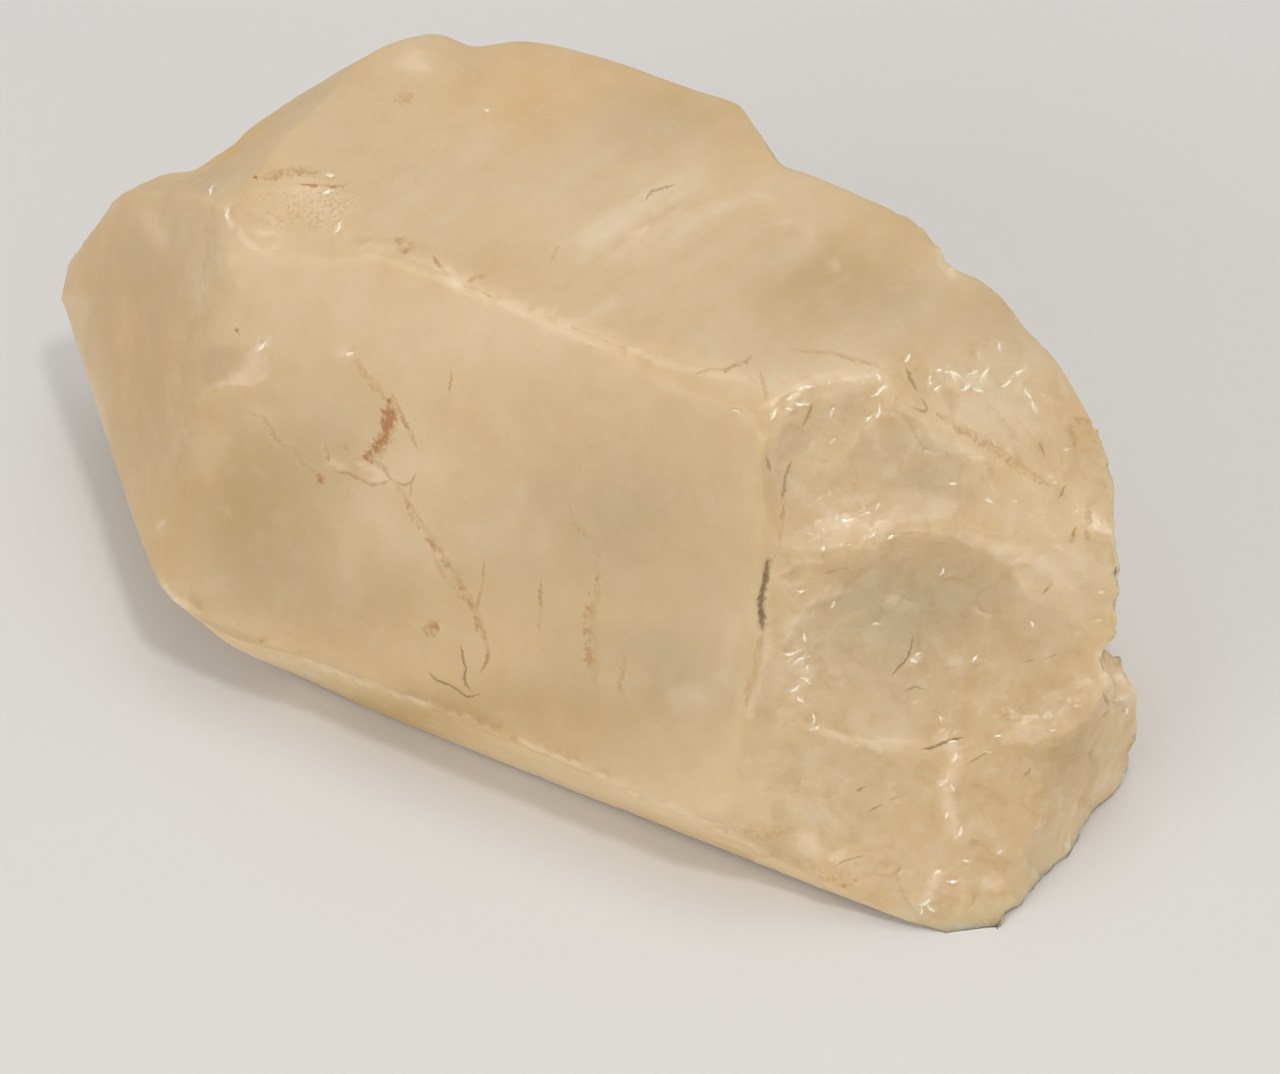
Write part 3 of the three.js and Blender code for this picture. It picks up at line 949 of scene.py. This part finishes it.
def facet(co, normals, px, index, centre, length, heading):
    """Height of a small facet that faces half way between the lamp and the front"""
    middle = index[np.argmin(np.linalg.norm(px[index] - centre, axis=1))]
    origin, normal = co[middle], normals[middle]
    lamp = np.array(GLINT_LAMP) / MM - origin
    eye = EYE - origin
    mirror = lamp / np.linalg.norm(lamp) + eye / np.linalg.norm(eye)
    mirror /= np.linalg.norm(mirror)
    turn = math.radians(heading)
    offset = px[index] - centre
    u = offset[:, 0] * math.cos(turn) - offset[:, 1] * math.sin(turn)
    v = offset[:, 0] * math.sin(turn) + offset[:, 1] * math.cos(turn)
    step = offset / PX_PER_MM
    away = step[:, :1] * RIGHT - step[:, 1:] * UP
    away -= np.outer((away @ normal) / (BACK @ normal), BACK)
    rise = -(away @ mirror) / (normal @ mirror)
    width = 2.5 + 0.14 * length
    weight = 1 - smoothstep(0.3, 1.3, np.hypot(u / (length * 0.6 + 1), v / width))
    return np.clip(rise, -FACET_LIMIT, FACET_LIMIT) * weight


def fine_relief(co, normals, px, seen, jittered):
    """How far each vertex sinks, mm: open cracks, chipped edges and the bright facets"""
    drop = np.zeros(len(co))
    for line, width, _ in CRACKS:
        if width > WIDE_CRACK:
            index, distance = near_line(jittered, line, width, seen)
            drop[index] = WIDE_CRACK_DEPTH * (1 - smoothstep(0.1, 0.6, distance / width))
    for line, depth in CHIPPED_EDGES:
        index, distance = near_line(px, line, CHIP_REACH, seen)
        chips = smoothstep(-0.15, 0.5, fractal(co[index], *CHIPS))
        drop[index] += depth * (1 - distance / CHIP_REACH) * chips
    for x, y, length, heading in GLINTS:
        centre = np.array([x, y], float)
        index = np.flatnonzero(seen & np.all(np.abs(px - centre) < length + 6, axis=1))
        if len(index):
            drop[index] -= facet(co, normals, px, index, centre, length, heading)
    return drop


def surface_marks(co, tris):
    """Strengths of cracks, stains, veils, tints and painted light and shade on the finished mesh, and
    fine relief
    """
    normals = normals_of(co, tris)
    px = to_pixel(co)
    along, facing = toward_eye(co, normals)
    seen = along > 0.05 * DISTANCE
    visible = np.flatnonzero(seen)
    picture = px[visible]
    jittered = px + shake(px, *JITTER)
    marks = {name: np.zeros(len(co)) for name in ("veil_and_painted_light", "rough", "pitted", "rim", *TINTS)}

    def lay(name, index, values):
        marks[name][index] = np.maximum(marks[name][index], values)

    for kind, groups in (("lines", LINE_GROUPS), ("glints", GLINT_GROUPS)):
        for k, group in enumerate(groups):
            marks[f"{kind}_{k}"] = lay_lines(px, seen, group)
    for line, width, strength in VEILS:
        index, distance = near_line(jittered, line, width, seen)
        lay("veil_and_painted_light", index, strength * (1 - smoothstep(0.15, 1.0, distance / (0.8 * width))))
    for name, spots in TINTS.items():
        for x, y, wide, high, strength in spots:
            away = np.hypot((picture[:, 0] - x) / wide, (picture[:, 1] - y) / high)
            lay(name, visible, strength * np.exp(-away ** 2 * 1.2))
    marks["cloud"] = 0.5 + 0.3 * fractal(co, *CLOUDS)
    marks["wisp"] = 0.5 + 0.26 * fractal(co * WISP_STRETCH, *WISPS)
    marks["vein"] = fractal(co * VEIN_STRETCH, *VEINS)
    marks["far_side"] = np.where(seen, 0.0, 1.0)
    marks["rough"] = broken_base(co, normals)
    marks["rough"][visible] = smoothstep(-12, 14, depth_inside(picture, FRACTURE))
    marks["pitted"][visible] = smoothstep(-8, 10, depth_inside(picture, PITTED))
    lower = smoothstep(560, 640, picture[:, 1])
    marks["rim"][visible] = smoothstep(0.55, 0.15, facing[visible]) * lower
    warped = picture + shake(picture, *WOBBLE)
    for outline, _, _, milky, heart in SCARS:
        depth = depth_inside(warped, outline)
        rim = np.clip(1 + depth / 14, 0, 1) ** 2 * smoothstep(1.5, -1.0, depth)
        rim *= smoothstep(-0.3, 0.5, flat_noise(picture, *BROKEN_RIM))
        lay("veil_and_painted_light", visible, milky * rim)
        if heart:
            clear, middle, reach = heart
            away = np.linalg.norm(picture - middle, axis=1) / reach
            lay("clear", visible, clear * smoothstep(-1.5, 3.5, depth) * np.exp(-away ** 2))
    ragged = picture + shake(picture, *RAGGED)
    for outline, softness, milky in PATCHES:
        depth = smoothstep(-softness / 2, softness, depth_inside(ragged, outline))
        lay("veil_and_painted_light" if milky > 0 else "clear", visible, abs(milky) * depth)

    drop = fine_relief(co, normals, px, seen, jittered)
    drop += marks["pitted"] * PIT_DEPTH * np.maximum(0, value_noise(co, 0.8, 81) - 0.05)
    return co - normals * drop[:, None], marks


# ---------------------------------------------------------------- the crystal
VOXEL = 0.3
KEPT_SHARE = 0.14
REFINE_PASSES = 5


def build_crystal():
    low, high = (np.array(c) / MM for c in cad_box)
    mesh = evaluated(node_mesh_mm("quartz_crystal"), "REMESH", mode="VOXEL", voxel_size=VOXEL)
    co, tris = read(mesh)
    co = np.clip(shape_forms(co, tris), low, high)
    co, tris = read(evaluated(write(co, tris), "DECIMATE", ratio=KEPT_SHARE))
    co, tris = refine(co, tris, fine_enough, REFINE_PASSES)
    co, marks = surface_marks(co, tris)
    mesh = write(np.clip(co, low, high) * MM, tris)
    for name, values in marks.items():
        kind, field = ("FLOAT", "value") if values.ndim == 1 else ("FLOAT_VECTOR", "vector")
        layer = mesh.attributes.new(name, kind, "POINT")
        layer.data.foreach_set(field, values.astype(np.float32).ravel())
    mesh.shade_smooth()
    crystal = bpy.data.objects.new("crystal_skin", mesh)
    bpy.context.scene.collection.objects.link(crystal)
    return crystal


# ---------------------------------------------------------------- material
# colours of the stone and of its marks, and of the painted light, painted shade and painted glints
MILKY, MILKY_LIGHT = (0.78, 0.575, 0.312), (0.815, 0.63, 0.375)
# the second of these is a paler tone and, where the light falls, painted light
PALE, PALE_TONE_AND_LIGHT = (0.90, 0.765, 0.56), (0.91, 0.75, 0.52)
# milky white, also painted light on two patches; and the near-white colour of the painted glints
FROST_AND_PAINTED_LIGHT, GLINT_PAINT_COLOUR = (0.86, 0.72, 0.57), (1.0, 0.93, 0.80)
# the first of these is a deeper brown tone, and also painted shade
DARK_TONE_AND_SHADE, WARM, CLEAR = (0.565, 0.39, 0.165), (0.84, 0.54, 0.22), (0.66, 0.56, 0.34)
RUST, OCHRE, PIT = (0.43, 0.20, 0.06), (0.50, 0.29, 0.095), (0.48, 0.28, 0.10)
CRACK = (0.19, 0.11, 0.04)
# body of the stone
IOR = 1.544
SCATTER, SCATTER_RADIUS, SCATTER_SCALE = 0.7, (1.0, 0.7, 0.45), 0.003
ABSORBED, DENSITY = (0.93, 0.80, 0.58, 1), 18.0
GLOSS = 0.40
SEE_THROUGH, SEE_THROUGH_CLEAR, SEE_THROUGH_VEIL = 0.22, 0.3, -0.2
# the unit of the relief, m
RELIEF_UNIT = 0.0001
# noises: size m, octaves beyond the first, how rough
MOTTLE, BLOTCH, SPECK = (0.0024, 2.0, 0.58), (0.0016, 2.0, 0.62), (0.00045, 1.0, 0.6)
STREAKS = (0.0016, 1.0, 0.5)
STREAK_STRETCH, STREAK_TURN = (0.12, 1.0, 1.0), math.radians(72)


class Nodes:
    """Short names for making the nodes of one material"""

    def __init__(self, tree):
        self.tree = tree
        self.object_place = self.new("TexCoord", {}, "Object")

    def new(self, kind, inputs, output=0, **settings):
        """A node with its settings and inputs, each a value or another node's output"""
        node = self.tree.nodes.new("ShaderNode" + kind)
        for name, value in settings.items():
            setattr(node, name, value)
        self.put(node, inputs)
        return node.outputs[output]

    def put(self, node, inputs):
        for socket, value in inputs.items():
            if hasattr(value, "links"):
                self.tree.links.new(value, node.inputs[socket])
            else:
                node.inputs[socket].default_value = value

    def attribute(self, name):
        return self.new("Attribute", {}, "Fac", attribute_name=name)

    def vector(self, name):
        value = self.new("Attribute", {}, "Vector", attribute_name=name)
        return self.new("SeparateXYZ", {0: value}).node.outputs

    def math(self, operation, *values, clamp=False):
        return self.new("Math", dict(enumerate(values)), operation=operation, use_clamp=clamp)

    def add(self, a, b):
        return self.math("ADD", a, b)

    def times(self, a, b):
        return self.math("MULTIPLY", a, b)

    def scaled(self, value, factor, offset, clamp=False):
        return self.math("MULTIPLY_ADD", value, factor, offset, clamp=clamp)

    def highest(self, first, *others):
        for other in others:
            first = self.math("MAXIMUM", first, other)
        return first

    def absolute(self, value):
        return self.math("ABSOLUTE", value)

    def about_zero(self, value, amount):
        return self.times(self.math("SUBTRACT", value, 0.5), amount)

    def ramp(self, value, low, high, to_low=0.0, to_high=1.0):
        inputs = dict(enumerate((value, low, high, to_low, to_high)))
        return self.new("MapRange", inputs, interpolation_type="SMOOTHSTEP")

    def mix(self, factor, a, b):
        """One colour over another, each of them three numbers or another node's colour"""
        a, b = ((*colour, 1) if isinstance(colour, tuple) else colour for colour in (a, b))
        return self.new("Mix", {0: factor, 6: a, 7: b}, 2, data_type="RGBA")

    def noise(self, size, detail, roughness, stretch=(1, 1, 1), turn=0.0):
        """Noise with forms of about that size, in metres, turned about the upright"""
        place = self.new("Mapping", {
            "Vector": self.object_place, "Rotation": (0, 0, turn),
            "Scale": [size / share for share in stretch],
        }, vector_type="TEXTURE")
        return self.new("TexNoise", {
            "Vector": place, "Scale": 1.0, "Detail": detail, "Roughness": roughness,
        }, "Fac")


def body_colour(n, veil_and_painted_light, clear):
    """The milky stone, with its deep, clear, warm, bright, mottled, streaky and veiled parts, and the
    painted shade and painted light among them
    """
    colour = n.mix(n.ramp(n.cloud, 0.35, 0.65), MILKY, MILKY_LIGHT)
    # deeper tone, and painted shade on the foot face and under the crest of the lobe
    colour = n.mix(n.times(n.attribute("dark_tone_and_shade"), n.ramp(n.cloud, 0.2, 0.5, 0.7, 1.0)), colour, DARK_TONE_AND_SHADE)
    colour = n.mix(n.times(clear, 0.6), colour, CLEAR)
    warm = n.times(n.attribute("warm"), n.ramp(n.wisp, 0.3, 0.7, 0.4, 1.0))
    colour = n.mix(n.times(warm, 0.6), colour, WARM)
    # paler tone, and painted light on the lit top face, the ridge and the thin edge of the break
    colour = n.mix(n.times(n.attribute("pale_tone_and_light"), 0.75), colour, PALE_TONE_AND_LIGHT)
    colour = n.mix(n.ramp(n.wisp, 0.55, 0.78, 0.0, 0.22), colour, PALE)
    uneven = n.scaled(n.broken, 0.7, 0.5)
    colour = n.mix(n.times(uneven, n.ramp(n.mottle, 0.5, 0.72, 0.0, 0.26)), colour, PALE)
    colour = n.mix(n.times(uneven, n.ramp(n.mottle, 0.5, 0.3, 0.0, 0.2)), colour, DARK_TONE_AND_SHADE)
    streaks = n.noise(*STREAKS, stretch=STREAK_STRETCH, turn=STREAK_TURN)
    streaky = n.attribute("streaky")
    colour = n.mix(n.times(streaky, n.ramp(streaks, 0.5, 0.7, 0.0, 0.35)), colour, FROST_AND_PAINTED_LIGHT)
    colour = n.mix(n.times(streaky, n.ramp(streaks, 0.46, 0.3, 0.0, 0.14)), colour, DARK_TONE_AND_SHADE)
    # veils: milky bruises, and on two patches painted light
    return n.mix(n.times(veil_and_painted_light, 0.6), colour, FROST_AND_PAINTED_LIGHT)


def far_veins(n):
    """Old cracks on the far side, filled with rust"""
    field = n.absolute(n.add(n.attribute("vein"), n.about_zero(n.blotch, 0.10)))
    vein = n.times(n.times(n.attribute("far_side"), 0.4), n.ramp(field, 0.035, 0.004))
    return n.times(vein, n.ramp(n.cloud, 0.42, 0.6))


def cracks_and_stains(n):
    cracks, stains = [], [far_veins(n)]
    for k in range(len(LINE_GROUPS)):
        across, dark, brown = n.vector(f"lines_{k}")
        wander = n.add(n.about_zero(n.speck, 2.4), n.about_zero(n.blotch, 2.4))
        away = n.absolute(n.add(across, wander))
        cracks.append(n.times(dark, n.ramp(away, 1.15, 0.45)))
        halo = n.times(n.times(dark, 0.3), n.ramp(away, 3.0, 0.8))
        stains.append(n.highest(halo, n.times(brown, n.ramp(away, 1.5, 0.3))))
    freckles = n.add(n.times(n.blotch, 0.75), n.times(n.speck, 0.25))
    return n.highest(*cracks), n.times(n.highest(*stains), n.ramp(freckles, 0.4, 0.6, 0.45, 1.35))


def painted_glint_mask(n):
    """Where the bright facets get their painted glint, a near-white painted highlight"""
    streaks = []
    for k in range(len(GLINT_GROUPS)):
        across, strength, _ = n.vector(f"glints_{k}")
        away = n.absolute(n.add(across, n.about_zero(n.speck, 2.2)))
        streaks.append(n.times(strength, n.ramp(away, 1.2, 0.6)))
    return n.times(n.highest(*streaks), n.ramp(n.speck, 0.36, 0.5, 0.2, 1.0))


def crystal_material():
    material = bpy.data.materials.new("quartz")
    material.use_nodes = True
    nodes = material.node_tree.nodes
    bsdf = nodes["Principled BSDF"]
    n = Nodes(material.node_tree)
    n.cloud, n.wisp, n.broken = (n.attribute(name) for name in ("cloud", "wisp", "rough"))
    n.mottle, n.blotch, n.speck = (n.noise(*noise) for noise in (MOTTLE, BLOTCH, SPECK))

    clear = n.times(n.attribute("clear"), n.ramp(n.cloud, 0.25, 0.65, 0.45, 1.0))
    veil_and_painted_light = n.times(n.attribute("veil_and_painted_light"), n.ramp(n.blotch, 0.3, 0.6, 0.5, 1.0))
    pitting = n.ramp(n.add(n.speck, n.about_zero(n.mottle, 0.6)), 0.5, 0.72)
    pits = n.times(n.attribute("pitted"), pitting)
    crack, stain = cracks_and_stains(n)
    painted_glint = painted_glint_mask(n)
    rim = n.attribute("rim")

    colour = body_colour(n, veil_and_painted_light, clear)
    colour = n.mix(stain, colour, n.mix(n.ramp(stain, 0.3, 0.9), OCHRE, RUST))
    colour = n.mix(n.times(pits, 0.5), colour, PIT)
    colour = n.mix(crack, colour, CRACK)
    # painted glints: the facets are painted near white as a painted highlight
    colour = n.mix(n.times(painted_glint, 0.95), colour, GLINT_PAINT_COLOUR)

    # the break is a little glossier, and its bright facets are glassy
    rough = n.add(n.scaled(n.broken, -0.05, GLOSS), n.about_zero(n.blotch, 0.16))
    rough = n.scaled(rim, 0.25, rough)
    rough = n.scaled(painted_glint, -0.3, rough, clamp=True)

    see_through = n.scaled(clear, SEE_THROUGH_CLEAR, SEE_THROUGH)
    see_through = n.scaled(veil_and_painted_light, SEE_THROUGH_VEIL, see_through, clamp=True)
    solid = n.math("SUBTRACT", 1.0, n.highest(crack, stain, painted_glint, pits, rim), clamp=True)

    ridges = n.times(n.absolute(n.about_zero(n.mottle, 2.0)), n.broken)
    relief = n.add(n.times(n.speck, 0.12), n.times(n.blotch, 0.18))
    relief = n.add(relief, n.times(ridges, 1.6))
    bump = n.new("Bump", {"Distance": RELIEF_UNIT, "Strength": 1.0, "Height": relief})

    n.put(bsdf, {
        "Base Color": colour, "Roughness": n.highest(rough, 0.1), "Normal": bump,
        "Transmission Weight": n.times(see_through, solid), "IOR": IOR,
        "Subsurface Weight": SCATTER, "Subsurface Radius": SCATTER_RADIUS,
        "Subsurface Scale": SCATTER_SCALE,
    })
    absorption = n.new("VolumeAbsorption", {"Color": ABSORBED, "Density": DENSITY})
    n.put(nodes["Material Output"], {"Volume": absorption})
    return material


make_camera()
make_studio()
crystal = build_crystal()
crystal.data.materials.clear()
crystal.data.materials.append(crystal_material())
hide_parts("quartz_crystal")
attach(crystal, "root")
